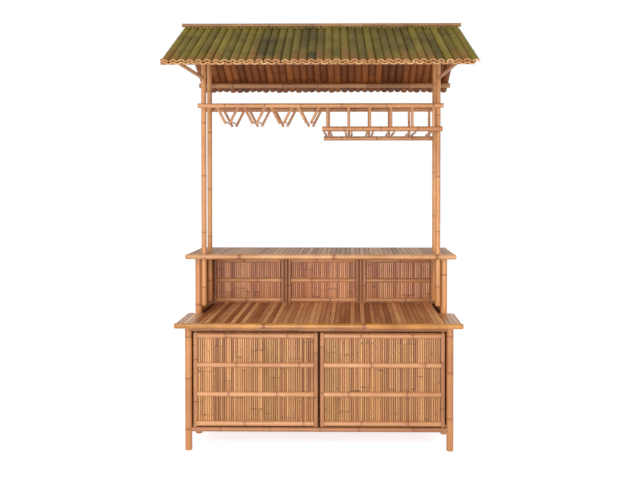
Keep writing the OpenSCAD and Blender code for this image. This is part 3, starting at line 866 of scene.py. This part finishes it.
# ---------------------------------------------------------------- Roof
# Split culms laid like clay tiles: pans with their bellies down, and covers over their
# joints. Green skin above, turning brown toward the eaves; brown bellies below. The rear
# slope starts with a pan, so that its covers close the valleys that show at the crest.
cover_skin = bamboo("cover_skin", "8c7a2c", "463c14", "2c240c", aged="926432", fibre=0.6,
                    cloud=1.0, gloss=0.6, coat=0.0, spots=0.7, ior=1.2)
pan_skin = bamboo("pan_skin", "a4602c", "5c2c10", "2b1206", fibre=0.5, cloud=0.6, gloss=0.5,
                  coat=0.0, ior=1.3)
pith = bamboo("pith", "dcac76", "b47c48", "9a6236", fibre=0.8, cloud=0.4, gloss=0.65, coat=0.0,
              spots=0.0)
roof_angle = math.radians(28.3)
roof_t = 0.028
culm_wall = 0.0075
low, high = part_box("front_roof")
roof_len = high.x - low.x
covers = 37
culm_pitch = roof_len / covers
culm_arc = 134  # degrees of the culm's round that a split culm keeps
cover_r = culm_pitch / 2 / math.sin(math.radians(culm_arc / 2))
crest_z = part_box("ridge_pole")[0].z - seat
slope_len = -low.y / math.cos(roof_angle)
eave_jitter = 0.006
front_lean = 0.018  # how far the eave of the front slope stands to the right
crest_gap = 0.0002  # half the clearance between the slopes at the crest


def split_culm(whole, across, crown_up, lean):
    """One split culm in the slope's own frame: X across, -Y out of the roof, Z down it.
    A cover has its round side up, and a pan has it down."""
    length = slope_len + rng.uniform(-eave_jitter, eave_jitter * 0.5)
    girth = cover_r * rng.uniform(0.96, 1.04)
    bm = arc(girth, culm_arc, 8)
    inner = bmesh.ops.duplicate(bm, geom=bm.verts[:] + bm.edges[:])["geom"]
    inner = [g for g in inner if isinstance(g, bmesh.types.BMVert)]
    bmesh.ops.scale(bm, verts=inner, vec=(1 - culm_wall / girth,) * 3)
    ends = sorted((v for v in bm.verts if len(v.link_edges) == 1), key=lambda v: v.co.x)
    bm.edges.new(ends[:2])
    bm.edges.new(ends[2:])
    foot = bm.edges[:]
    rows = culm_stations(length, 0.30, 0.012)
    shade = rng.uniform(-0.35, 0.35)
    head = draw_out(bm, [(z, swell, tone + shade, scar) for z, swell, tone, scar in rows], girth)
    for face in bm.faces:
        middle = face.calc_center_median()
        skin_side = math.hypot(middle.x, middle.y) > girth - culm_wall * 0.4
        face.material_index = 0 if skin_side and crown_up else 1
    close_end(bm, foot, 0, 0)
    close_end(bm, head, 0, 0)
    aged = bm.verts.layers.float["aged"]
    brown, edge = rng.uniform(0.4, 1.1), rng.uniform(0.35, 0.75)
    slant = (lean if crown_up else -lean) + rng.uniform(-0.002, 0.002)
    for vert in bm.verts:
        down = vert.co.z / length
        vert[aged] = min(0.64, max(0.1, (down - edge) * 2.4) * brown) if crown_up else 0.0
        vert.co.x += slant * down
    for face in bm.faces:
        if len(face.verts) > 4:
            face.material_index = 2
    if crown_up:
        place = Matrix.Translation((across, girth - roof_t - rng.uniform(0.001, 0.002), 0))
    else:
        place = (Matrix.Translation((across, -girth, 0)) @ Matrix.Rotation(math.pi, 4, "Z"))
    merge(bm, whole, place)


for name, yaw, covers_first, lean in (("front_roof", 0.0, True, front_lean),
                                      ("rear_roof", math.pi, False, 0.0)):
    whole = new_piece()
    for i in range(covers):
        split_culm(whole, -roof_len / 2 + (i + 0.5) * culm_pitch, covers_first, lean)
    for i in range(1, covers):
        split_culm(whole, -roof_len / 2 + i * culm_pitch, not covers_first, lean)
    down = Vector((0, -math.cos(roof_angle), -math.sin(roof_angle)))
    out = Vector((0, -math.sin(roof_angle), math.cos(roof_angle)))
    start = Vector((0, 0, crest_z)) - out * roof_t
    slope = Matrix((Vector((1, 0, 0)), -out, down)).transposed()
    whole.transform(Matrix.Translation(start) @ slope.to_4x4())
    cut = bmesh.ops.bisect_plane(whole, geom=whole.verts[:] + whole.edges[:] + whole.faces[:],
                                 plane_co=(0, -crest_gap, 0), plane_no=(0, 1, 0),
                                 clear_outer=True)
    fill = bmesh.ops.holes_fill(whole, edges=[e for e in cut["geom_cut"]
                                              if isinstance(e, bmesh.types.BMEdge)], sides=0)
    for face in fill["faces"]:
        face.material_index = 0
    whole.transform(Matrix.Rotation(yaw, 4, "Z"))
    bmesh.ops.recalc_face_normals(whole, faces=whole.faces[:])
    make_piece(whole, name + "_culms", [cover_skin, pan_skin, pith], name)
